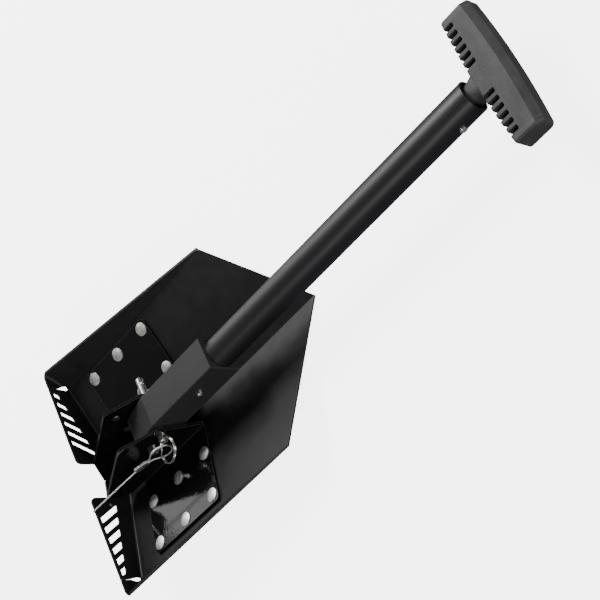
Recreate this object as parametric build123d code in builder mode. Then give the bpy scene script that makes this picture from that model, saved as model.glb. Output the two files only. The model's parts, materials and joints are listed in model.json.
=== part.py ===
"""Folding avalanche shovel, stowed: the telescoping shaft lies over the hollow side of the blade.

Millimetres. +X is to the right across the blade, +Y runs along the crease to the tip, +Z is up.
The origin is the middle of the shovel's footprint, on the surface that the crease rests on.
"""
from build123d import *
from math import atan2, cos, degrees, hypot, pi, radians, sin, tan
import os

os.makedirs("parts", exist_ok=True)

# ---------------------------------------------------------------- driving dimensions
overall_length = 630.0        # rear wall to the crown of the T-grip, stowed
y0 = -overall_length / 2      # rear face of the two rear walls; lengths below are measured from it

sheet = 2.0                   # blade sheet
v_angle = radians(15.4)       # rise of each floor half from the central crease
floor_half_width = 115.0
shoulder_y = y0 + 243.4
tip_y = y0 + 322.0
wall_top_z = 59.6
flange_spread = 17.0          # how far the side flanges lean out over their height
bend_inner = 2.5

notch_half_width = 20.5       # gap between the rear walls that the shaft drops into
notch_corner_radius = 6.0
notch_apex_z = 31.8
notch_side_z = 36.8
slot_count = 6
slot_first_x = 44.4
slot_pitch = 12.0
slot_width = 6.2
slot_top_z = 56.1
slot_lean = 0.56              # sideways lean per height
slot_floor_gap = 18.3

bracket = 3.0                 # bracket plate
ear_inner_x = 19.5
plate_outer_x = 107.4
plate_rear_y = y0 + 34.9
plate_front_y = y0 + 140.5
rivet_columns = (52.4, 99.8)
rivet_rows = (y0 + 43.5, y0 + 87.7, y0 + 131.9)
rivet_head_radius = 7.0
rivet_head_height = 1.8
rivet_shank_radius = 3.0

pivot_y = y0 + 92.9
pivot_z = 42.4
pivot_radius = 4.0
bush_radius = 5.5
pin_y = y0 + 117.85           # lock pin, in the stowed hole
pin_z = 49.65
pin_radius = 3.97
pin_hole_radius = 4.05
fold_steps = (0, 90, 167)     # shaft angles that have a lock hole: stowed, hoe, shovel

tube_z = 46.9
outer_radius = 15.875
outer_wall = 1.8
outer_start_y = y0 + 134.0
outer_end_y = y0 + 583.5
inner_radius = 13.975
inner_wall = 1.475
inner_start_y = y0 + 205.0
inner_end_y = y0 + 581.5
telescope_travel = 300.0

block_half_width = 17.0
block_half_height = 19.5
block_front_y = y0 + 224.0
block_rear_y = y0 + 126.7
block_nose_radius = 14.0
block_bore_end_y = y0 + 132.0

button_radius = 3.6
block_button_y = y0 + 182.5
telescope_button_y = y0 + 560.4
extend_button_y = telescope_button_y - telescope_travel

grip_half_length = 68.0
grip_cap = 6.0
grip_under_y = y0 + 594.0
grip_crown_y = y0 + overall_length
grip_half_thickness = 11.5
grip_notch_count = 6           # on each side of the neck
grip_notch_first_x = 16.8
grip_notch_pitch = 8.1
grip_notch_width = 5.0
grip_notch_end_y = y0 + 607.0
grip_notch_depth = 9.5

ring_radius = 13.2            # pull ring, to the middle of its wire
ring_wire = 0.8
ring_near_x = 25.3            # where the ring passes through the head of the lock pin
ring_tilt = radians(13)

cable_radius = 0.8
lanyard_rivet_radius = 2.0
# route of the lanyard: from the terminal behind the right wall, over the wall, through the ferrule
# and round the pull ring
lanyard_route = [
    (33.1, y0 - 2.6, 50.0),
    (36.1, y0 - 2.6, 61.4),
    (37.2, y0 + 77.0, 60.3),
    (37.2, y0 + 98.2, 55.4),
    (37.0, y0 + 101.0, 46.5),
    (36.8, y0 + 105.8, 40.5),
    (36.4, y0 + 114.0, 40.3),
    (36.2, y0 + 120.5, 46.0),
    (36.2, y0 + 122.4, 54.5),
    (36.4, y0 + 118.0, 61.8),
    (36.8, y0 + 110.0, 64.2),
    (37.2, y0 + 103.0, 61.2),
    (37.2, y0 + 97.2, 57.55),
    (37.2, y0 + 87.2, 59.86),
]

# ---------------------------------------------------------------- shared geometry
slope = tan(v_angle)
crease_top_z = sheet / cos(v_angle)
floor_edge_z = crease_top_z + floor_half_width * slope
terminal_end = Vector(*lanyard_route[0])
terminal_dir = (terminal_end - Vector(*lanyard_route[1])).normalized()
lanyard_rivet_at = terminal_end + terminal_dir * 13.5
ear_outer_x = ear_inner_x + bracket
pin_reach = hypot(pin_y - pivot_y, pin_z - pivot_z)
pin_angle = degrees(atan2(pin_z - pivot_z, pin_y - pivot_y))


def across(y):
    """Plane across the shovel at y: sketch x is +X, sketch y is +Z."""
    return Plane(origin=(0, y, 0), x_dir=(1, 0, 0), z_dir=(0, -1, 0))


def beside(x):
    """Plane along the shovel at x: sketch x is +Y, sketch y is +Z."""
    return Plane(origin=(x, 0, 0), x_dir=(0, 1, 0), z_dir=(1, 0, 0))


def floor_top(x):
    """Height of the floor's upper face at distance x from the crease."""
    return crease_top_z + x * slope


def rivet_plane(x, y):
    """Plane square to the right floor half, on its upper face."""
    return Plane(origin=(x, y, floor_top(x)), x_dir=(0, 1, 0), z_dir=(-sin(v_angle), 0, cos(v_angle)))


def axial(y, z):
    """Plane through an axis that runs across the shovel: sketch x is +X, sketch y is +Z."""
    return Plane(origin=(0, y, z), x_dir=(1, 0, 0), z_dir=(0, -1, 0))


def crosswise(y, z):
    """Axis across the shovel, towards +X."""
    return Axis((0, y, z), (1, 0, 0))


def lock_hole(fold):
    """Where the lock pin goes through the ears at a shaft angle, as (y, z)."""
    angle = radians(pin_angle + fold)
    return pivot_y + pin_reach * cos(angle), pivot_z + pin_reach * sin(angle)


# ---------------------------------------------------------------- blade: one folded sheet
flange_lean = atan2(wall_top_z - floor_edge_z, flange_spread)
arm_top_z = wall_top_z + 6
arm_run = (arm_top_z - floor_edge_z) / tan(flange_lean)
arm_shift = sheet * tan((flange_lean - v_angle) / 2)
relief_height = wall_top_z + 1 - floor_edge_z
relief_depth = sheet + 7.0
section_outline = [
    (0, crease_top_z),
    (floor_half_width, floor_edge_z),
    (floor_half_width + arm_run, arm_top_z),
    (floor_half_width + arm_run + sheet / sin(flange_lean), arm_top_z),
    (floor_half_width + sheet * sin(v_angle) + arm_shift * cos(v_angle),
     floor_edge_z - sheet * cos(v_angle) + arm_shift * sin(v_angle)),
    (0, 0),
]

with BuildPart() as blade:
    # floor half and side flange, as one bent section
    with BuildSketch(across(y0)) as section:
        with BuildLine():
            Polyline(*section_outline, close=True)
        make_face()
        bend_inside = section.vertices().sort_by_distance((floor_half_width, floor_edge_z, 0))[0]
        fillet(bend_inside, radius=bend_inner)
        outer_corner = section_outline[4]
        bend_outside = section.vertices().sort_by_distance((outer_corner[0], outer_corner[1], 0))[0]
        fillet(bend_outside, radius=bend_inner + sheet)
    extrude(amount=-(tip_y - y0))
    # point of the blade
    with BuildSketch(Plane.XY):
        with BuildLine():
            Polyline((0, tip_y), (floor_half_width, shoulder_y), (floor_half_width + 40, shoulder_y),
                     (floor_half_width + 40, tip_y + 10), (0, tip_y + 10), close=True)
        make_face()
    extrude(amount=100, mode=Mode.SUBTRACT)
    # flange runs down to nothing at the shoulder
    with BuildSketch(beside(floor_half_width - 3)):
        with BuildLine():
            Polyline((y0 - 1, wall_top_z), (y0 + 6, wall_top_z), (shoulder_y - 2, floor_edge_z),
                     (shoulder_y + 1, floor_edge_z - 1), (shoulder_y + 1, 90), (y0 - 1, 90), close=True)
        make_face()
    extrude(amount=60, mode=Mode.SUBTRACT)
    # rear wall panel and the small return of the flange beside it
    with BuildSketch(across(y0)):
        with BuildLine():
            Polyline((0.6, 1.0), (0.6, notch_apex_z), (notch_half_width, notch_side_z),
                     (notch_half_width, wall_top_z), (floor_half_width + flange_spread, wall_top_z),
                     (floor_half_width, floor_edge_z), (floor_half_width, floor_edge_z - 1.5), close=True)
        make_face()
    extrude(amount=-sheet)
    # fold between floor and wall
    fold_inner = (60.0, y0 + sheet, floor_top(60.0))
    fillet(blade.edges().sort_by_distance(fold_inner)[0], radius=bend_inner)
    fold_outer = (60.0, y0, floor_top(60.0) - sheet / cos(v_angle))
    fillet(blade.edges().sort_by_distance(fold_outer)[0], radius=bend_inner + 1.0)
    # rounded rear corner outside the flange
    corner_x = floor_half_width + flange_spread + sheet / sin(flange_lean)
    corner_round = 7.0
    with BuildSketch(Plane(origin=(corner_x, y0, wall_top_z), x_dir=(1, 0, 0),
                           z_dir=(cos(flange_lean), 0, sin(flange_lean)))):
        with BuildLine():
            Polyline((0.05, -0.05), (0.05, corner_round))
            RadiusArc((0.05, corner_round), (-corner_round, -0.05), corner_round)
            Line((-corner_round, -0.05), (0.05, -0.05))
        make_face()
    extrude(amount=45, both=True, mode=Mode.SUBTRACT)
    # top inner corner of the wall
    notch_corner = (notch_half_width, y0 + sheet / 2, wall_top_z)
    fillet(blade.edges().filter_by(Axis.Y).sort_by_distance(notch_corner)[0], radius=notch_corner_radius)
    # slit between wall and tab, and the leaf-shaped relief at its foot; points are measured from the fold
    relief_outline = [(-0.8, relief_height), (-0.2, relief_height), (0.5, 14), (3.2, 7.5), (2.6, 3.0),
                      (-0.8, 0.9), (-2.2, 4), (-1.0, 13)]
    with BuildSketch(across(y0 - 1)) as relief:
        with BuildLine():
            Polyline(*[(floor_half_width + x, floor_edge_z + z) for x, z in relief_outline], close=True)
        make_face()
        relief_foot = relief.vertices().sort_by(Axis.Y)[:4]
        fillet(relief_foot, radius=0.8)
    extrude(amount=-relief_depth, mode=Mode.SUBTRACT)
    # slanted slots, longer towards the middle
    for k in range(slot_count):
        x_top = slot_first_x + k * slot_pitch
        foot_z = floor_top(x_top) + slot_floor_gap
        foot_shift = (slot_top_z - foot_z) * slot_lean
        low_z = floor_top(x_top - foot_shift) + slot_floor_gap
        low_shift = (slot_top_z - low_z) * slot_lean
        with BuildSketch(across(y0 - 1)) as slot:
            with BuildLine():
                Polyline((x_top, slot_top_z), (x_top + slot_width, slot_top_z),
                         (x_top + slot_width - low_shift + 1.0, low_z + slot_width * slope),
                         (x_top - low_shift, low_z), close=True)
            make_face()
            fillet(slot.vertices(), radius=0.6)
        extrude(amount=-(sheet + 2), mode=Mode.SUBTRACT)
    # rivet holes
    for x in rivet_columns:
        for y in rivet_rows:
            with BuildSketch(rivet_plane(x, y)):
                Circle(rivet_shank_radius)
            extrude(amount=sheet + 1, both=True, mode=Mode.SUBTRACT)
    mirror(about=Plane.YZ)
    # hole for the lanyard's rivet, in the right wall only
    with BuildSketch(across(y0 - 1)):
        with Locations((lanyard_rivet_at.X, lanyard_rivet_at.Z)):
            Circle(lanyard_rivet_radius)
    extrude(amount=-(sheet + 2), mode=Mode.SUBTRACT)
blade.part.label = "blade"
export_step(blade.part, "parts/blade.step")


# ---------------------------------------------------------------- brackets: riveted plate and ear
plate_rise = bracket / cos(v_angle)
ear_foot_z = floor_top(ear_inner_x)
bend_top_z = ear_foot_z + 6
bend_inner_corner = (ear_outer_x, floor_top(ear_outer_x) + plate_rise, 0)

with BuildPart() as bracket_right:
    # plate and bend
    with BuildSketch(across(plate_front_y)) as profile:
        with BuildLine():
            Polyline((ear_inner_x, ear_foot_z), (ear_inner_x, bend_top_z), (ear_outer_x, bend_top_z),
                     bend_inner_corner[:2], (plate_outer_x, floor_top(plate_outer_x) + plate_rise),
                     (plate_outer_x, floor_top(plate_outer_x)), close=True)
        make_face()
        fillet(profile.vertices().sort_by_distance((ear_inner_x, ear_foot_z, 0))[0], radius=4.0)
        fillet(profile.vertices().sort_by_distance(bend_inner_corner)[0], radius=1.5)
    extrude(amount=plate_front_y - plate_rear_y)
    fillet(bracket_right.edges().filter_by(Axis.Z).group_by(Axis.X)[-1], radius=4.0)
    # ear
    with BuildSketch(beside(ear_inner_x)) as ear:
        with BuildLine():
            Polyline((y0 + 3.9, 24.0), (y0 + 3.9, 39.6), (y0 + 88.0, 84.1), (y0 + 124.0, 62.6),
                     (plate_front_y - 0.2, bend_top_z - 0.3), (y0 + 12.5, bend_top_z - 0.3), close=True)
        make_face()
        fillet(ear.vertices().sort_by_distance((y0 + 88.0, 84.1, 0))[0], radius=6.0)
        fillet(ear.vertices().sort_by_distance((y0 + 124.0, 62.6, 0))[0], radius=7.0)
        fillet(ear.vertices().sort_by_distance((y0 + 3.9, 39.6, 0))[0], radius=2.0)
    extrude(amount=bracket)
    # holes for the pivot bolt and the lock pin
    with BuildSketch(beside(ear_inner_x - 1)):
        with Locations((pivot_y, pivot_z)):
            Circle(pivot_radius)
        with Locations(*[lock_hole(fold) for fold in fold_steps]):
            Circle(pin_hole_radius)
    extrude(amount=bracket + 2, mode=Mode.SUBTRACT)
    for x in rivet_columns:
        for y in rivet_rows:
            with BuildSketch(rivet_plane(x, y)):
                Circle(rivet_shank_radius)
            extrude(amount=bracket + 1, mode=Mode.SUBTRACT)
bracket_right.part.label = "bracket_right"
export_step(bracket_right.part, "parts/bracket_right.step")

with BuildPart() as bracket_left:
    mirror(bracket_right.part, about=Plane.YZ)
bracket_left.part.label = "bracket_left"
export_step(bracket_left.part, "parts/bracket_left.step")

# ---------------------------------------------------------------- rivets that hold the brackets to the blade
rivet_axis_dir = (-sin(v_angle), 0, cos(v_angle))
rivet_rim_height = 0.8
rivet_tail_radius = 5.0
rivet_tail_height = 1.5

with BuildPart() as bracket_rivets:
    for x in rivet_columns:
        for y in rivet_rows:
            centre = (x, y, floor_top(x))
            with BuildSketch(Plane(origin=centre, x_dir=(0, 1, 0), z_dir=(cos(v_angle), 0, sin(v_angle)))):
                with BuildLine():
                    rim = (rivet_head_radius, bracket + rivet_rim_height)
                    TangentArc((0, bracket + rivet_head_height), rim, tangent=(1, 0))
                    Polyline(rim, (rivet_head_radius, bracket), (rivet_shank_radius, bracket),
                             (rivet_shank_radius, -sheet), (rivet_tail_radius, -sheet),
                             (rivet_tail_radius, -sheet - 0.6 * rivet_tail_height),
                             (rivet_tail_radius - 0.8, -sheet - rivet_tail_height),
                             (0, -sheet - rivet_tail_height), (0, bracket + rivet_head_height))
                make_face()
            revolve(axis=Axis(centre, rivet_axis_dir))
    mirror(about=Plane.YZ)
bracket_rivets.part.label = "bracket_rivets"
export_step(bracket_rivets.part, "parts/bracket_rivets.step")

# ---------------------------------------------------------------- pivot bolt, nut, bush and washers
bolt_head_radius = 5.6
bolt_head_height = 5.0
nut_height = 5.5
washer_radius = 9.0

with BuildPart() as pivot_bolt:
    with BuildSketch(axial(pivot_y, pivot_z)):
        with BuildLine():
            bolt_end = -(ear_outer_x + nut_height + 1.5)
            rim = (ear_outer_x + bolt_head_height - 2.0, bolt_head_radius)
            crown = (ear_outer_x + bolt_head_height, 0)
            Polyline(crown, (bolt_end, 0), (bolt_end, pivot_radius - 0.6), (bolt_end + 0.6, pivot_radius),
                     (ear_outer_x, pivot_radius), (ear_outer_x, bolt_head_radius), rim)
            TangentArc(crown, rim, tangent=(0, 1))
        make_face()
    revolve(axis=crosswise(pivot_y, pivot_z))
pivot_bolt.part.label = "pivot_bolt"
export_step(pivot_bolt.part, "parts/pivot_bolt.step")

with BuildPart() as pivot_nut:
    with BuildSketch(beside(-ear_outer_x)):
        with Locations((pivot_y, pivot_z)):
            RegularPolygon(radius=6.5, side_count=6, major_radius=False)
            Circle(pivot_radius, mode=Mode.SUBTRACT)
    extrude(amount=-nut_height)
pivot_nut.part.label = "pivot_nut"
export_step(pivot_nut.part, "parts/pivot_nut.step")

with BuildPart() as pivot_bush:
    with BuildSketch(beside(-block_half_width)):
        with Locations((pivot_y, pivot_z)):
            Circle(bush_radius)
            Circle(pivot_radius + 0.05, mode=Mode.SUBTRACT)
    extrude(amount=2 * block_half_width)
pivot_bush.part.label = "pivot_bush"
export_step(pivot_bush.part, "parts/pivot_bush.step")

with BuildPart() as pivot_washers:
    with BuildSketch(beside(block_half_width)):
        with Locations((pivot_y, pivot_z)):
            Circle(washer_radius)
            Circle(pivot_radius + 0.1, mode=Mode.SUBTRACT)
    extrude(amount=ear_inner_x - block_half_width - 0.1)
    mirror(about=Plane.YZ)
pivot_washers.part.label = "pivot_washers"
export_step(pivot_washers.part, "parts/pivot_washers.step")

# ---------------------------------------------------------------- pivot block that carries the shaft
slot_sweep = 62.0             # the pin's slot opens through the underside of the block
block_edge = 0.8

with BuildPart() as pivot_block:
    with BuildSketch(beside(-block_half_width)):
        with Locations(((block_front_y + block_rear_y) / 2, tube_z)):
            Rectangle(block_front_y - block_rear_y, 2 * block_half_height)
        with Locations((pivot_y, pivot_z)):
            Circle(block_nose_radius)
        make_hull()
    extrude(amount=2 * block_half_width)
    chamfer(pivot_block.faces().sort_by(Axis.X)[0].edges(), length=block_edge)
    chamfer(pivot_block.faces().sort_by(Axis.X)[-1].edges(), length=block_edge)
    # bore for the shaft
    with BuildSketch(Plane(origin=(0, block_front_y, tube_z), x_dir=(1, 0, 0), z_dir=(0, -1, 0))):
        Circle(outer_radius + 0.055)
    extrude(amount=block_front_y - block_bore_end_y, mode=Mode.SUBTRACT)
    # pivot hole, and the curved slot that lets the block swing with the lock pin in place
    with BuildSketch(beside(-block_half_width)):
        with Locations((pivot_y, pivot_z)):
            Circle(bush_radius)
        with BuildLine():
            slot_middle = CenterArc((pivot_y, pivot_z), pin_reach, pin_angle - slot_sweep, slot_sweep)
        SlotArc(slot_middle, 2 * pin_hole_radius + 0.2)
    extrude(amount=2 * block_half_width, mode=Mode.SUBTRACT)
    # hole for the snap button
    with BuildSketch(beside(0)):
        with Locations((block_button_y, tube_z)):
            Circle(button_radius + 0.1)
    extrude(amount=block_half_width, mode=Mode.SUBTRACT)
pivot_block.part.label = "pivot_block"
export_step(pivot_block.part, "parts/pivot_block.step")


# ---------------------------------------------------------------- telescoping shaft
def lengthwise(y):
    """Plane across the shaft at y, centred on it; extruding goes towards the grip."""
    return Plane(origin=(0, y, tube_z), x_dir=(-1, 0, 0), z_dir=(0, 1, 0))


with BuildPart() as outer_tube:
    with BuildSketch(lengthwise(outer_start_y)):
        Circle(outer_radius)
        Circle(outer_radius - outer_wall, mode=Mode.SUBTRACT)
    extrude(amount=outer_end_y - outer_start_y)
    with BuildSketch(beside(0)):
        with Locations((block_button_y, tube_z), (telescope_button_y, tube_z)):
            Circle(button_radius + 0.1)
    extrude(amount=outer_radius, mode=Mode.SUBTRACT)
outer_tube.part.label = "outer_tube"
export_step(outer_tube.part, "parts/outer_tube.step")

with BuildPart() as inner_tube:
    with BuildSketch(lengthwise(inner_start_y)):
        Circle(inner_radius)
        Circle(inner_radius - inner_wall, mode=Mode.SUBTRACT)
    extrude(amount=inner_end_y - inner_start_y)
    with BuildSketch(beside(0)):
        with Locations((extend_button_y, tube_z), (telescope_button_y, tube_z)):
            Circle(button_radius + 0.1)
    extrude(amount=inner_radius, mode=Mode.SUBTRACT)
inner_tube.part.label = "inner_tube"
export_step(inner_tube.part, "parts/inner_tube.step")

# ---------------------------------------------------------------- snap buttons and their leaf springs
# name, y, how far out the button's crown reaches, inside radius of the tube that holds it
snap_buttons = [
    ("block_button", block_button_y, 20.2, outer_radius - outer_wall),
    ("telescope_button", telescope_button_y, 18.9, inner_radius - inner_wall),
    ("extend_button", extend_button_y, 13.9, inner_radius - inner_wall),
]
button_length = 10.5
button_crown_height = 1.6
leaf_thickness = 0.6
leaf_width = 7.0
leaf_length = 34.0

for name, y, crown_x, tube_inside in snap_buttons:
    base_x = crown_x - button_length
    shoulder_x = crown_x - button_crown_height
    with BuildPart() as button:
        with BuildSketch(axial(y, tube_z)):
            with BuildLine():
                Polyline((crown_x, 0), (base_x, 0), (base_x, button_radius), (shoulder_x, button_radius))
                TangentArc((crown_x, 0), (shoulder_x, button_radius), tangent=(0, 1))
            make_face()
        revolve(axis=crosswise(y, tube_z))
    button.part.label = name
    export_step(button.part, f"parts/{name}.step")

    # folded leaf: one leg under the button, the other against the far side of the tube
    with BuildPart() as leaf:
        with BuildSketch(Plane.XY.offset(tube_z - leaf_width / 2)):
            with BuildLine():
                near_x = base_x - leaf_thickness / 2
                far_x = -tube_inside + 1.2
                Polyline((near_x, y + 4.5), (near_x, y - 5.0), (near_x / 2 - 2.0, y - leaf_length),
                         (near_x / 2 - 5.0, y - leaf_length), (far_x, y - 5.0), (far_x, y + 1.0))
            trace(line_width=leaf_thickness)
        extrude(amount=leaf_width)
    leaf.part.label = name + "_spring"
    export_step(leaf.part, f"parts/{name}_spring.step")

# ---------------------------------------------------------------- T-grip with two end caps
crown_drop = 3.0              # the crown is lower at its ends
underside_rise = 3.0
crown_chamfer = 4.0           # bevel between crown and upper face: its width on the crown
face_chamfer = 6.5            # and on the face
crown_lower_radius = 7.0
grip_under_radius = 2.5
grip_end_radius = 3.0
grip_seam_x = grip_half_length - grip_cap
neck_radius = inner_radius - inner_wall
waist_radius = 11.0
flare_start_y = y0 + 584.0

with BuildPart() as grip_blank:
    with BuildSketch(Plane.XY.offset(tube_z - grip_half_thickness)):
        with BuildLine():
            crown_end = (grip_half_length, grip_crown_y - crown_drop)
            under_end = (grip_half_length, grip_under_y + underside_rise)
            ThreePointArc((-crown_end[0], crown_end[1]), (0, grip_crown_y), crown_end)
            Line(crown_end, under_end)
            ThreePointArc(under_end, (0, grip_under_y), (-under_end[0], under_end[1]))
            Line((-under_end[0], under_end[1]), (-crown_end[0], crown_end[1]))
        make_face()
    extrude(amount=2 * grip_half_thickness)
    crown_face = grip_blank.faces().sort_by(Axis.Y)[-1]
    crown_edges = crown_face.edges().filter_by(GeomType.CIRCLE).sort_by(Axis.Z)
    chamfer(crown_edges[-1], length=crown_chamfer, length2=face_chamfer, reference=crown_face)
    fillet(crown_edges[0], radius=crown_lower_radius)
    under_face = grip_blank.faces().sort_by(Axis.Y)[0]
    fillet(under_face.edges().filter_by(GeomType.CIRCLE), radius=grip_under_radius)
    fillet(grip_blank.faces().sort_by(Axis.X)[0].edges(), radius=grip_end_radius)
    fillet(grip_blank.faces().sort_by(Axis.X)[-1].edges(), radius=grip_end_radius)

with BuildPart() as grip:
    add(grip_blank.part)
    split(bisect_by=Plane.YZ.offset(grip_seam_x), keep=Keep.BOTTOM)
    split(bisect_by=Plane.YZ.offset(-grip_seam_x), keep=Keep.TOP)
    # neck: a plug in the inner tube, a narrower waist in its mouth, and a flare into the bar
    with BuildSketch(Plane.XY.offset(tube_z)):
        with BuildLine():
            Polyline((0, y0 + 568.0), (neck_radius - 0.8, y0 + 568.0), (neck_radius, y0 + 569.0),
                     (neck_radius, y0 + 575.0), (waist_radius, y0 + 577.0), (waist_radius, flare_start_y + 1),
                     (0, flare_start_y + 1), close=True)
        make_face()
    revolve(axis=Axis((0, 0, tube_z), (0, 1, 0)))
    with BuildSketch(lengthwise(flare_start_y)):
        Circle(waist_radius)
    with BuildSketch(lengthwise(flare_start_y + 5.0)):
        RectangleRounded(2 * waist_radius + 2.6, 2 * waist_radius + 0.2, waist_radius)
    with BuildSketch(lengthwise(grip_under_y + 4.0)):
        RectangleRounded(3.0 * waist_radius, 2 * waist_radius + 0.8, waist_radius)
    loft()
    # finger notches, as pockets in both faces that open towards the shaft
    notch_length = 24.0
    for side in (-1, 1):
        with BuildSketch(Plane.XY.offset(tube_z + side * (grip_half_thickness - grip_notch_depth))):
            for k in range(grip_notch_count):
                notch_x = grip_notch_first_x + k * grip_notch_pitch
                with Locations((notch_x, grip_notch_end_y - notch_length / 2),
                               (-notch_x, grip_notch_end_y - notch_length / 2)):
                    RectangleRounded(grip_notch_width, notch_length, 1.6)
        extrude(amount=side * (grip_notch_depth + 1), mode=Mode.SUBTRACT)
grip.part.label = "grip"
export_step(grip.part, "parts/grip.step")

with BuildPart() as grip_cap_right:
    add(grip_blank.part)
    split(bisect_by=Plane.YZ.offset(grip_seam_x), keep=Keep.TOP)
grip_cap_right.part.label = "grip_cap_right"
export_step(grip_cap_right.part, "parts/grip_cap_right.step")

with BuildPart() as grip_cap_left:
    mirror(grip_cap_right.part, about=Plane.YZ)
grip_cap_left.part.label = "grip_cap_left"
export_step(grip_cap_left.part, "parts/grip_cap_left.step")

# ---------------------------------------------------------------- lock pin with its ball detent and pull ring
pin_tip_x = -46.0
tip_bevel = 1.4
head_radius = 5.0
head_start_x = ear_outer_x + 0.3
head_end_x = ear_outer_x + 6.8
ball_radius = 2.5
ball_x = pin_tip_x + 8.0
ball_stand = 0.9              # how far the ball stands proud of the pin
ball_centre_y = pin_y + pin_radius + ball_stand - ball_radius
ball_bore_radius = 2.55
ring_passage_width = 4.2
ring_passage_height = 4.4
ring_passage_shift = 0.3      # towards the ring's middle, because its wire curves that way
ball_bore_floor = pin_y - 3.0

with BuildPart() as lock_pin:
    with BuildSketch(axial(pin_y, pin_z)):
        with BuildLine():
            Polyline((pin_tip_x, 0), (pin_tip_x, pin_radius - tip_bevel), (pin_tip_x + tip_bevel, pin_radius),
                     (head_start_x, pin_radius), (head_start_x, head_radius),
                     (head_end_x - tip_bevel, head_radius), (head_end_x, head_radius - tip_bevel),
                     (head_end_x, 0), close=True)
        make_face()
    revolve(axis=crosswise(pin_y, pin_z))
    # bore for the detent, from the side that faces the tip of the blade
    with BuildSketch(Plane(origin=(ball_x, ball_bore_floor, pin_z), x_dir=(1, 0, 0), z_dir=(0, 1, 0))):
        Circle(ball_bore_radius)
    extrude(amount=12, mode=Mode.SUBTRACT)
    # passage for the pull ring through the head
    with BuildSketch(Plane(origin=(ring_near_x, pin_y, pin_z), x_dir=(1, 0, 0),
                           z_dir=(0, cos(ring_tilt), sin(ring_tilt)))):
        with Locations((ring_passage_shift, 0)):
            RectangleRounded(ring_passage_width, ring_passage_height, 1.2)
    extrude(amount=head_radius + 1, both=True, mode=Mode.SUBTRACT)
lock_pin.part.label = "lock_pin"
export_step(lock_pin.part, "parts/lock_pin.step")

with BuildPart() as detent_ball:
    with Locations((ball_x, ball_centre_y, pin_z)):
        Sphere(ball_radius)
detent_ball.part.label = "detent_ball"
export_step(detent_ball.part, "parts/detent_ball.step")

spring_wire = 0.25
spring_radius = 1.6
spring_length = ball_centre_y - ball_radius - ball_bore_floor - 2.4 * spring_wire

with BuildPart() as detent_spring:
    with BuildLine() as coil:
        Helix(pitch=spring_length / 3, height=spring_length, radius=spring_radius,
              center=(ball_x, ball_bore_floor + spring_wire * 1.1, pin_z), direction=(0, 1, 0))
    with BuildSketch(Plane(origin=coil.line @ 0, z_dir=coil.line % 0)):
        Circle(spring_wire)
    sweep(is_frenet=True)
detent_spring.part.label = "detent_spring"
export_step(detent_spring.part, "parts/detent_spring.step")

ring_centre_x = ring_near_x + ring_radius
ring_centre = (ring_centre_x, pin_y, pin_z)
ring_normal = (0, -sin(ring_tilt), cos(ring_tilt))

with BuildPart() as pull_ring:
    with BuildSketch(Plane(origin=ring_centre, x_dir=(1, 0, 0), z_dir=(0, -cos(ring_tilt), -sin(ring_tilt)))):
        with Locations((ring_radius, ring_wire * 0.9), (ring_radius, -ring_wire * 0.9)):
            Circle(ring_wire)
    revolve(axis=Axis(ring_centre, ring_normal))
pull_ring.part.label = "pull_ring"
export_step(pull_ring.part, "parts/pull_ring.step")

# ---------------------------------------------------------------- lanyard, right wall to pull ring
route_points = [Vector(*point) for point in lanyard_route]
route_radii = []
for before, corner, after in zip(route_points, route_points[1:], route_points[2:]):
    turn = (corner - before).get_angle(after - corner)
    shorter = min((corner - before).length, (after - corner).length)
    route_radii.append(0.45 * shorter / tan(radians(turn / 2)))
print("lanyard radii", [round(radius, 1) for radius in route_radii])

with BuildPart() as lanyard_cable:
    with BuildLine() as route:
        FilletPolyline(*route_points, radius=route_radii)
    with BuildSketch(Plane(origin=route.line @ 0, z_dir=route.line % 0)):
        Circle(cable_radius)
    sweep()
cable_length = route.wire().length
print("lanyard length", round(cable_length, 1),
      "volume ratio", round(lanyard_cable.part.volume / (pi * cable_radius ** 2 * cable_length), 4))
lanyard_cable.part.label = "lanyard_cable"
export_step(lanyard_cable.part, "parts/lanyard_cable.step")

ferrule_length = 16.0
ferrule_front = (route_points[3] + route_points[12]) / 2
ferrule_dir = (route_points[3] - route_points[2]).normalized()

with BuildPart() as lanyard_ferrule:
    with BuildSketch(Plane(origin=ferrule_front - ferrule_dir * 4.0, x_dir=(1, 0, 0), z_dir=ferrule_dir)):
        SlotCenterToCenter(2.1, 3.8, rotation=90)
    extrude(amount=-ferrule_length)
    fillet(lanyard_ferrule.faces().sort_by(Axis.Y)[0].edges(), radius=0.5)
lanyard_ferrule.part.label = "lanyard_ferrule"
export_step(lanyard_ferrule.part, "parts/lanyard_ferrule.step")

tongue = 1.3
tongue_width = 7.0

with BuildPart() as lanyard_terminal:
    with BuildSketch(Plane(origin=terminal_end, x_dir=(0, 1, 0), z_dir=terminal_dir)):
        Circle(2.2)
    extrude(amount=9.0)
    tongue_start = terminal_end + terminal_dir * 6.0
    tongue_middle = (tongue_start + lanyard_rivet_at) / 2
    with BuildSketch(across(y0)):
        with Locations(Location((tongue_middle.X, tongue_middle.Z, 0), (0, 0, 90 - degrees(atan2(
                terminal_dir.X, terminal_dir.Z))))):
            SlotCenterToCenter((lanyard_rivet_at - tongue_start).length, tongue_width)
        with Locations((lanyard_rivet_at.X, lanyard_rivet_at.Z)):
            Circle(lanyard_rivet_radius, mode=Mode.SUBTRACT)
    extrude(amount=tongue)
lanyard_terminal.part.label = "lanyard_terminal"
export_step(lanyard_terminal.part, "parts/lanyard_terminal.step")

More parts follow.
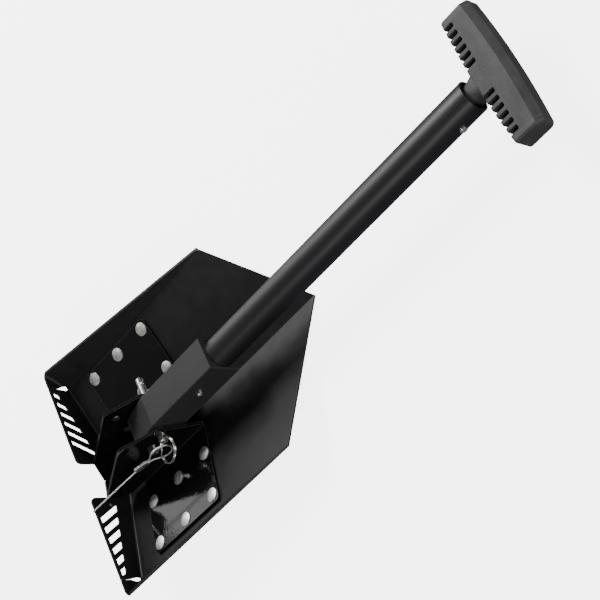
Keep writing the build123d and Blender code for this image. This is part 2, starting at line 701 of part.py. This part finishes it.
with BuildPart() as lanyard_rivet:
    with BuildSketch(across(y0 + sheet)):
        with Locations((lanyard_rivet_at.X, lanyard_rivet_at.Z)):
            Circle(lanyard_rivet_radius)
    extrude(amount=sheet + tongue)
    with BuildSketch(across(y0 - tongue)):
        with Locations((lanyard_rivet_at.X, lanyard_rivet_at.Z)):
            Circle(3.3)
    extrude(amount=1.4)
    fillet(lanyard_rivet.faces().sort_by(Axis.Y)[0].edges(), radius=0.8)
lanyard_rivet.part.label = "lanyard_rivet"
export_step(lanyard_rivet.part, "parts/lanyard_rivet.step")
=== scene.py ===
import json
from math import cos, pi, radians, sin

import bmesh
import bpy
from mathutils import Matrix, Vector


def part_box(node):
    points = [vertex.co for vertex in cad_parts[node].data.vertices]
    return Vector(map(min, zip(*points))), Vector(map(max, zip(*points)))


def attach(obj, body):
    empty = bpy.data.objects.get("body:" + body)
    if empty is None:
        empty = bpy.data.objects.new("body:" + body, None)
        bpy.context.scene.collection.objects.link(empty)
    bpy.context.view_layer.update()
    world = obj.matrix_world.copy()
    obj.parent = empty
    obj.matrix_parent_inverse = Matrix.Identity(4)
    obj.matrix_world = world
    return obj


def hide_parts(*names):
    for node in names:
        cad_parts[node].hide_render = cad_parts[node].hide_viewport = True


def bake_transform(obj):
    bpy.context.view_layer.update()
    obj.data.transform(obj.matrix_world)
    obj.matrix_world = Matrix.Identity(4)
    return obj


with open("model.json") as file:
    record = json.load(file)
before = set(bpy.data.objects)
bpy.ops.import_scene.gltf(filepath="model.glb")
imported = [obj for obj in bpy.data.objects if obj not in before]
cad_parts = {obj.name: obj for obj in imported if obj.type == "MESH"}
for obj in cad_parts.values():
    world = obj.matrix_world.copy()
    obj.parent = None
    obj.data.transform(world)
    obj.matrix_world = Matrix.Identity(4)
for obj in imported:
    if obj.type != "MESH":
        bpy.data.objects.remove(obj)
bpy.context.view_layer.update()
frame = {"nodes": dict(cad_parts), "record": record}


# ---------------------------------------------------------------- small helpers
def node_object(name):
    """The Blender object of a CAD node."""
    return frame["nodes"][name]


def smooth_piece(name, mesh, material):
    """Adds a finished mesh to the scene, shaded smooth."""
    mesh.materials.append(material)
    mesh.polygons.foreach_set("use_smooth", [True] * len(mesh.polygons))
    piece = bpy.data.objects.new(name, mesh)
    bpy.context.scene.collection.objects.link(piece)
    return piece


def frames_along(points):
    """Tangent and a twist-free normal at every point of a line."""
    frames = []
    normal = None
    tangent_before = None
    for i, point in enumerate(points):
        tangent = (points[min(i + 1, len(points) - 1)] - points[max(i - 1, 0)]).normalized()
        if normal is None:
            normal = tangent.orthogonal().normalized()
        else:
            normal.rotate(tangent_before.rotation_difference(tangent))
            normal = (normal - tangent * normal.dot(tangent)).normalized()
        tangent_before = tangent
        frames.append((tangent, normal.copy()))
    return frames


def skin_mesh(name, verts, sides):
    """Closes rings of points, each with the same number of sides, into one capped form."""
    rings = len(verts) // sides
    faces = []
    for i in range(rings - 1):
        here = i * sides
        there = here + sides
        for k in range(sides):
            after = (k + 1) % sides
            faces.append((here + k, here + after, there + after, there + k))
    faces.append(tuple(reversed(range(sides))))
    faces.append(tuple(range((rings - 1) * sides, rings * sides)))
    mesh = bpy.data.meshes.new(name)
    mesh.from_pydata(verts, [], faces)
    mesh.update()
    return mesh


def tube_mesh(name, points, radius, sides):
    """Round tube along a list of points."""
    verts = []
    for point, (tangent, normal) in zip(points, frames_along(points)):
        across = tangent.cross(normal)
        for k in range(sides):
            angle = 2 * pi * k / sides
            verts.append(point + (normal * cos(angle) + across * sin(angle)) * radius)
    return skin_mesh(name, verts, sides)


# ---------------------------------------------------------------- node-based materials
class Nodes:
    """A material with a Principled shader, and short calls that add and link nodes."""

    def __init__(self, name, **values):
        self.material = bpy.data.materials.new(name)
        self.material.use_nodes = True
        self.tree = self.material.node_tree
        self.shader = self.tree.nodes["Principled BSDF"]
        self.place = self.add("ShaderNodeTexCoord").outputs["Object"]
        for key, value in values.items():
            self.shader.inputs[key.replace("_", " ")].default_value = value

    def add(self, kind, **settings):
        node = self.tree.nodes.new(kind)
        for key, value in settings.items():
            setattr(node, key, value)
        return node

    def link(self, out, into):
        self.tree.links.new(out, into)

    def scaled(self, scale):
        """Object coordinates with a scale along each axis."""
        mapping = self.add("ShaderNodeMapping")
        mapping.inputs["Scale"].default_value = scale
        self.link(self.place, mapping.inputs["Vector"])
        return mapping.outputs["Vector"]

    def noise(self, scale, detail=3.0, roughness=0.55, vector=None):
        node = self.add("ShaderNodeTexNoise")
        node.inputs["Scale"].default_value = scale
        node.inputs["Detail"].default_value = detail
        node.inputs["Roughness"].default_value = roughness
        self.link(vector or self.place, node.inputs["Vector"])
        return node.outputs["Fac"]

    def remap(self, value, low, high, to_low, to_high):
        node = self.add("ShaderNodeMapRange")
        self.link(value, node.inputs["Value"])
        for key, number in (("From Min", low), ("From Max", high), ("To Min", to_low), ("To Max", to_high)):
            node.inputs[key].default_value = number
        return node.outputs["Result"]

    def mix_colour(self, factor, first, second):
        node = self.add("ShaderNodeMix", data_type="RGBA")
        self.link(factor, node.inputs["Factor"])
        for socket, colour in ((node.inputs[6], first), (node.inputs[7], second)):
            if hasattr(colour, "is_output"):
                self.link(colour, socket)
            else:
                socket.default_value = (*colour, 1)
        return node.outputs[2]

    def bump(self, height, distance, strength=1.0, under=None):
        node = self.add("ShaderNodeBump")
        node.inputs["Distance"].default_value = distance
        node.inputs["Strength"].default_value = strength
        self.link(height, node.inputs["Height"])
        if under is not None:
            self.link(under, node.inputs["Normal"])
        return node.outputs["Normal"]

    def edges(self, radius):
        """0 on flat surfaces, towards 1 along the corners: the mask where a highlight is painted."""
        fully_corner = 0.85           # dot product of the rounded and the true normal
        bevel = self.add("ShaderNodeBevel", samples=4)
        bevel.inputs["Radius"].default_value = radius
        geometry = self.add("ShaderNodeNewGeometry")
        product = self.add("ShaderNodeVectorMath", operation="DOT_PRODUCT")
        self.link(bevel.outputs["Normal"], product.inputs[0])
        self.link(geometry.outputs["Normal"], product.inputs[1])
        return self.remap(product.outputs["Value"], 1.0, fully_corner, 0.0, 1.0)

    def set(self, key, value):
        self.link(value, self.shader.inputs[key])


# widths of the painted highlight lines along metal and plastic corners
metal_edge_highlight_width = 0.0005      # width of the painted highlight line along metal corners
plastic_edge_highlight_width = 0.0008


def powder_coat(name, grey, rough, peel_scale, peel_depth, edge_highlight_grey, gloss):
    """Black powder coat: faint orange peel, cloudy gloss, corners a little lighter with a painted highlight.
    """
    m = Nodes(name, Specular_IOR_Level=gloss)
    cloud = m.noise(9, 4)
    base = m.mix_colour(cloud, (grey * 0.85,) * 3, (grey * 1.3, grey * 1.2, grey * 1.1))
    # painted highlight: a lighter grey along the corners, in the base colour
    m.set("Base Color", m.mix_colour(m.edges(metal_edge_highlight_width), base, (edge_highlight_grey,) * 3))
    m.set("Roughness", m.remap(m.noise(60, 5), 0.3, 0.7, rough * 0.85, rough * 1.15))
    peel = m.noise(peel_scale, 2, 0.5)
    m.set("Normal", m.bump(peel, peel_depth))
    return m.material


def anodised(name, colour, rough, edge_highlight_grey):
    """Black anodised aluminium with drawing lines along the shaft, and a painted highlight along the
    corners.
    """
    m = Nodes(name, Specular_IOR_Level=0.5)
    lines_across = 900.0
    lines_along = 18.0
    lines = m.noise(1.0, 3, 0.6, m.scaled((lines_across, lines_along, lines_across)))
    cloud = m.noise(14, 3)
    base = m.mix_colour(cloud, [c * 0.85 for c in colour], [c * 1.2 for c in colour])
    # painted highlight: a lighter grey along the corners, in the base colour
    m.set("Base Color", m.mix_colour(m.edges(metal_edge_highlight_width), base, (edge_highlight_grey,) * 3))
    m.set("Roughness", m.remap(lines, 0.3, 0.7, rough * 0.92, rough * 1.1))
    m.set("Normal", m.bump(lines, 0.000004, 0.4))
    return m.material


def moulded_plastic(name, grey, rough):
    """Glass-filled black plastic: fine spark-eroded grain and slight flow marks, with a painted highlight
    along the corners.
    """
    m = Nodes(name, Specular_IOR_Level=0.45)
    flow = m.remap(m.noise(70, 5, 0.65, m.scaled((0.5, 1.0, 1.0))), 0.35, 0.65, 0.0, 1.0)
    base = m.mix_colour(flow, (grey * 0.72,) * 3, (grey * 1.25,) * 3)
    # painted highlight: a lighter grey along the corners, in the base colour
    m.set("Base Color", m.mix_colour(m.edges(plastic_edge_highlight_width), base, (grey * 1.9,) * 3))
    grain = m.noise(1600, 2, 0.6)
    m.set("Roughness", m.remap(grain, 0.3, 0.7, rough * 0.9, rough * 1.15))
    coarse = m.bump(m.noise(420, 2), 0.00008, 0.6)
    m.set("Normal", m.bump(grain, 0.00005, 0.7, coarse))
    return m.material


def bare_metal(name, colour, rough, dirt, scale=240.0, stretch=(1, 1, 1)):
    """Bare steel or aluminium with tool marks and a little dirt in the grain."""
    m = Nodes(name, Metallic=1.0)
    marks = m.noise(scale, 5, 0.65, m.scaled(stretch))
    stains = m.remap(m.noise(90, 4), 0.45, 0.75, 0.0, dirt)
    shade = m.mix_colour(marks, [c * 0.82 for c in colour], [min(1.0, c * 1.1) for c in colour])
    m.set("Base Color", m.mix_colour(stains, shade, [c * 0.35 for c in colour]))
    m.set("Roughness", m.remap(marks, 0.3, 0.7, rough * 0.75, rough * 1.3))
    m.set("Normal", m.bump(marks, 0.00004, 0.6))
    return m.material


def nylon_material():
    """Natural nylon for the bush and washers."""
    m = Nodes("nylon", Subsurface_Weight=0.15, Roughness=0.45)
    m.set("Base Color", m.mix_colour(m.noise(150, 3), (0.62, 0.6, 0.54), (0.74, 0.72, 0.66)))
    m.set("Normal", m.bump(m.noise(700, 2), 0.00003))
    return m.material


# one finish for each material slot of the record
finishes = {
    "blade_coat": powder_coat("blade_coat", 0.007, 0.46, 520.0, 0.00003, 0.06, 0.38),
    "bracket_coat": powder_coat("bracket_coat", 0.005, 0.07, 330.0, 0.00008, 0.11, 0.5),
    "block_anodised": anodised("block_anodised", (0.029, 0.029, 0.029), 0.42, 0.08),
    "tube_anodised": anodised("tube_anodised", (0.010, 0.0082, 0.0095), 0.46, 0.04),
    "inner_tube_anodised": anodised("inner_tube_anodised", (0.03, 0.03, 0.03), 0.35, 0.08),
    "grip_plastic": moulded_plastic("grip_plastic", 0.044, 0.6),
    "cap_plastic": moulded_plastic("cap_plastic", 0.044, 0.55),
    "rivet_aluminium": bare_metal("rivet_aluminium", (0.97, 0.94, 0.87), 0.43, 0.25),
    "zinc_steel": bare_metal("zinc_steel", (0.86, 0.90, 0.94), 0.25, 0.2, 400.0),
    "stainless": bare_metal("stainless", (0.88, 0.86, 0.80), 0.3, 0.2, 300.0),
    "spring_steel": bare_metal("spring_steel", (0.45, 0.45, 0.47), 0.3, 0.4),
    "nylon": nylon_material(),
}
for part in frame["record"]["subparts"]:
    for material_slot in node_object(part["node"]).material_slots:
        material_slot.material = finishes[part["material_slot"]]

# finishes of the pieces made here
ferrule_metal = bare_metal("ferrule_metal", (0.86, 0.85, 0.82), 0.3, 0.3, 500.0, (1.0, 0.25, 1.0))
ring_steel = bare_metal("ring_steel", (0.78, 0.76, 0.72), 0.22, 0.25, 700.0)
cable_steel = bare_metal("cable_steel", (0.93, 0.92, 0.88), 0.4, 0.15, 900.0)


# ---------------------------------------------------------------- lanyard: stranded cable and crimped sleeve
rear = -0.315                 # rear face of the blade's walls
cable_diameter = 0.0016
# the route, from the terminal behind the right wall, over the wall, through the sleeve and round
# the pull ring
lanyard_route = [
    (0.0331, rear - 0.0026, 0.0500),
    (0.0361, rear - 0.0026, 0.0614),
    (0.0362, rear + 0.0070, 0.0613),
    (0.0369, rear + 0.0560, 0.0606),
    (0.0372, rear + 0.0770, 0.0603),
    (0.0372, rear + 0.0982, 0.0554),
    (0.0370, rear + 0.1010, 0.0465),
    (0.0368, rear + 0.1058, 0.0405),
    (0.0364, rear + 0.1140, 0.0403),
    (0.0362, rear + 0.1205, 0.0460),
    (0.0362, rear + 0.1224, 0.0545),
    (0.0364, rear + 0.1180, 0.0618),
    (0.0368, rear + 0.1100, 0.0642),
    (0.0372, rear + 0.1030, 0.0612),
    (0.0372, rear + 0.0972, 0.05755),
    (0.0372, rear + 0.0872, 0.05986),
]


def spline_points(name, route):
    """Closely spaced points of a smooth spline that has the route as its control points."""
    curve = bpy.data.curves.new(name, "CURVE")
    curve.dimensions = "3D"
    spline = curve.splines.new("NURBS")
    spline.points.add(len(route) - 1)
    for point, place in zip(spline.points, route):
        point.co = (*place, 1)
    spline.order_u = 3
    spline.use_endpoint_u = True
    spline.resolution_u = 40
    carrier = bpy.data.objects.new(name, curve)
    line = bpy.data.meshes.new_from_object(carrier)
    points = [vertex.co.copy() for vertex in line.vertices]
    bpy.data.objects.remove(carrier)
    bpy.data.curves.remove(curve)
    bpy.data.meshes.remove(line)
    return points


def rope_mesh(name, points, diameter):
    """Wire rope: a core and strands that wind round it, all in one mesh."""
    strands = 6
    lay_length = 0.0095
    wire_sides = 7
    strand_radius = diameter * 0.165
    wind_radius = diameter / 2 - strand_radius
    travelled = 0.0
    lines = [[] for _ in range(strands)]
    for i, (point, (tangent, normal)) in enumerate(zip(points, frames_along(points))):
        if i:
            travelled += (point - points[i - 1]).length
        across = tangent.cross(normal)
        for k in range(strands):
            angle = 2 * pi * (travelled / lay_length + k / strands)
            lines[k].append(point + (normal * cos(angle) + across * sin(angle)) * wind_radius)
    rope = bmesh.new()
    for k, line in enumerate([points] + lines):
        wire = tube_mesh(f"{name}_{k}", line, wind_radius if k == 0 else strand_radius, wire_sides)
        rope.from_mesh(wire)
        bpy.data.meshes.remove(wire)
    mesh = bpy.data.meshes.new(name)
    rope.to_mesh(mesh)
    rope.free()
    return mesh


def crimped_sleeve(name, low_end, high_end):
    """Oval swaged sleeve over two runs of cable, with two crimped bands and rolled ends."""
    steps = 64
    sides = 40
    half_width = 0.00395
    half_thickness = 0.0019
    rolled_length = 0.0006
    rolled_in = 0.22
    band_places = (0.30, 0.70)
    band_half_length = 0.0013
    band_pinch = 0.17
    band_bulge = 0.03
    axis = (high_end - low_end).normalized()
    wide = Vector((0, -axis.z, axis.y)).normalized()
    thin = axis.cross(wide)
    length = (high_end - low_end).length
    verts = []
    for i in range(steps + 1):
        along = i / steps
        from_end = min(along, 1 - along) * length
        roll = min(1.0, from_end / rolled_length)
        swell = 1 - rolled_in * (1 - roll) ** 2
        crimp = sum(1 / (1 + ((along - at) * length / band_half_length) ** 6) for at in band_places)
        half_wide = half_width * swell * (1 + band_bulge * crimp)
        half_thin = half_thickness * swell * (1 - band_pinch * crimp)
        middle = low_end + axis * length * along
        for k in range(sides):
            angle = 2 * pi * k / sides
            reach_wide = abs(cos(angle)) ** 0.85 * (1 if cos(angle) > 0 else -1)
            reach_thin = abs(sin(angle)) ** 0.75 * (1 if sin(angle) > 0 else -1)
            verts.append(middle + wide * half_wide * reach_wide + thin * half_thin * reach_thin)
    return skin_mesh(name, verts, sides)


def add_lanyard():
    before_sleeve, leaves_sleeve, returns_to_sleeve = (Vector(lanyard_route[i]) for i in (4, 5, 14))
    sleeve_length = 0.016
    loop_to_sleeve = 0.004
    sleeve_dir = (leaves_sleeve - before_sleeve).normalized()
    sleeve_front = (leaves_sleeve + returns_to_sleeve) / 2 - sleeve_dir * loop_to_sleeve
    sleeve_mesh = crimped_sleeve("lanyard_sleeve", sleeve_front - sleeve_dir * sleeve_length, sleeve_front)
    sleeve = smooth_piece("lanyard_sleeve", sleeve_mesh, ferrule_metal)
    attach(sleeve, "pin")
    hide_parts("lanyard_ferrule")
    points = spline_points("lanyard_line", lanyard_route)
    rope = smooth_piece("lanyard_rope", rope_mesh("lanyard_rope", points, cable_diameter), cable_steel)
    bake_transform(rope)
    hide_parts("lanyard_cable")


add_lanyard()


# ---------------------------------------------------------------- pull ring: two turns of wire that cross
def add_split_ring():
    low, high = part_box("pull_ring")
    wire_radius = 0.0008
    wire_sides = 16
    turn_height = 0.9 * wire_radius
    tilt = radians(13)
    centre = (Vector(low) + Vector(high)) / 2
    radius = (high[0] - low[0]) / 2 - wire_radius
    out = Vector((1, 0, 0))
    forward = Vector((0, cos(tilt), sin(tilt)))
    up = Vector((0, -sin(tilt), cos(tilt)))
    crossing = radians(250)
    half_cross = radians(11)
    end_gap = radians(13)
    samples = 360
    path = []
    for i in range(samples + 1):
        turn = end_gap + (4 * pi - 2 * end_gap) * i / samples
        along = max(0.0, min(1.0, (turn - 2 * pi + half_cross) / (2 * half_cross)))
        level = (along * along * (3 - 2 * along) * 2 - 1) * turn_height
        angle = crossing + turn
        path.append(centre + (out * cos(angle) + forward * sin(angle)) * radius + up * level)
    ring = smooth_piece("split_ring", tube_mesh("split_ring", path, wire_radius, wire_sides), ring_steel)
    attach(ring, "pin_ring")
    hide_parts("pull_ring")


add_split_ring()


# ---------------------------------------------------------------- camera
def add_camera():
    place = Vector((0.6128, 0.6678, 0.9588))
    aim = Vector((0.0217, 0.0216, 0.0469))
    roll = radians(83.13)
    data = bpy.data.cameras.new("camera")
    data.lens = 84.23
    data.sensor_width = 36.0
    camera = bpy.data.objects.new("camera", data)
    level = (aim - place).to_track_quat("-Z", "Y")
    camera.rotation_euler = (level.to_matrix() @ Matrix.Rotation(-roll, 3, "Z")).to_euler()
    camera.location = place
    bpy.context.scene.collection.objects.link(camera)
    bpy.context.scene.camera = camera


add_camera()


# ---------------------------------------------------------------- floor and light
def add_floor():
    """Pale floor just under the shovel. It glows, and isn't mirrored in the paint."""
    half_side = 6.0
    gap = 0.0005
    glow = 4.5
    corners = [(x * half_side, y * half_side, 0) for x, y in ((-1, -1), (1, -1), (1, 1), (-1, 1))]
    mesh = bpy.data.meshes.new("floor")
    mesh.from_pydata(corners, [], [(0, 1, 2, 3)])
    floor = bpy.data.objects.new("floor", mesh)
    floor.location.z = -gap
    m = Nodes("floor", Roughness=0.9, Specular_IOR_Level=0.1)
    m.set("Base Color", m.mix_colour(m.noise(3, 2), (0.93, 0.93, 0.93), (0.96, 0.96, 0.96)))
    m.shader.inputs["Emission Color"].default_value = (1, 1, 1, 1)
    m.shader.inputs["Emission Strength"].default_value = glow
    mesh.materials.append(m.material)
    floor.visible_diffuse = False
    floor.visible_glossy = False
    bpy.context.scene.collection.objects.link(floor)


def add_softbox(name, towards, distance, size, power):
    """Rectangular area light in a direction from the pivot block, facing it."""
    target = Vector((0, -0.15, 0.03))
    data = bpy.data.lights.new(name, "AREA")
    data.shape = "RECTANGLE"
    data.size = size[0]
    data.size_y = size[1]
    data.energy = power
    light = bpy.data.objects.new(name, data)
    light.location = target + Vector(towards).normalized() * distance
    light.rotation_euler = (target - light.location).to_track_quat("-Z", "Y").to_euler()
    bpy.context.scene.collection.objects.link(light)


def add_light():
    world = bpy.data.worlds.new("studio")
    world.use_nodes = True
    background = world.node_tree.nodes["Background"]
    background.inputs["Color"].default_value = (0.9, 0.92, 1.0, 1)
    background.inputs["Strength"].default_value = 0.16
    bpy.context.scene.world = world
    add_softbox("key", (-0.72, -0.06, 0.70), 2.4, (1.0, 1.0), 62.0)
    add_softbox("left_panel", (-0.80, -0.54, 0.20), 1.6, (0.9, 1.3), 7.0)
    add_softbox("front_fill", (0.45, 0.95, 0.25), 2.0, (0.8, 0.8), 20.0)
    add_softbox("right_spark", (0.75, -0.15, 0.60), 2.0, (0.15, 0.15), 10.0)


add_floor()
add_light()
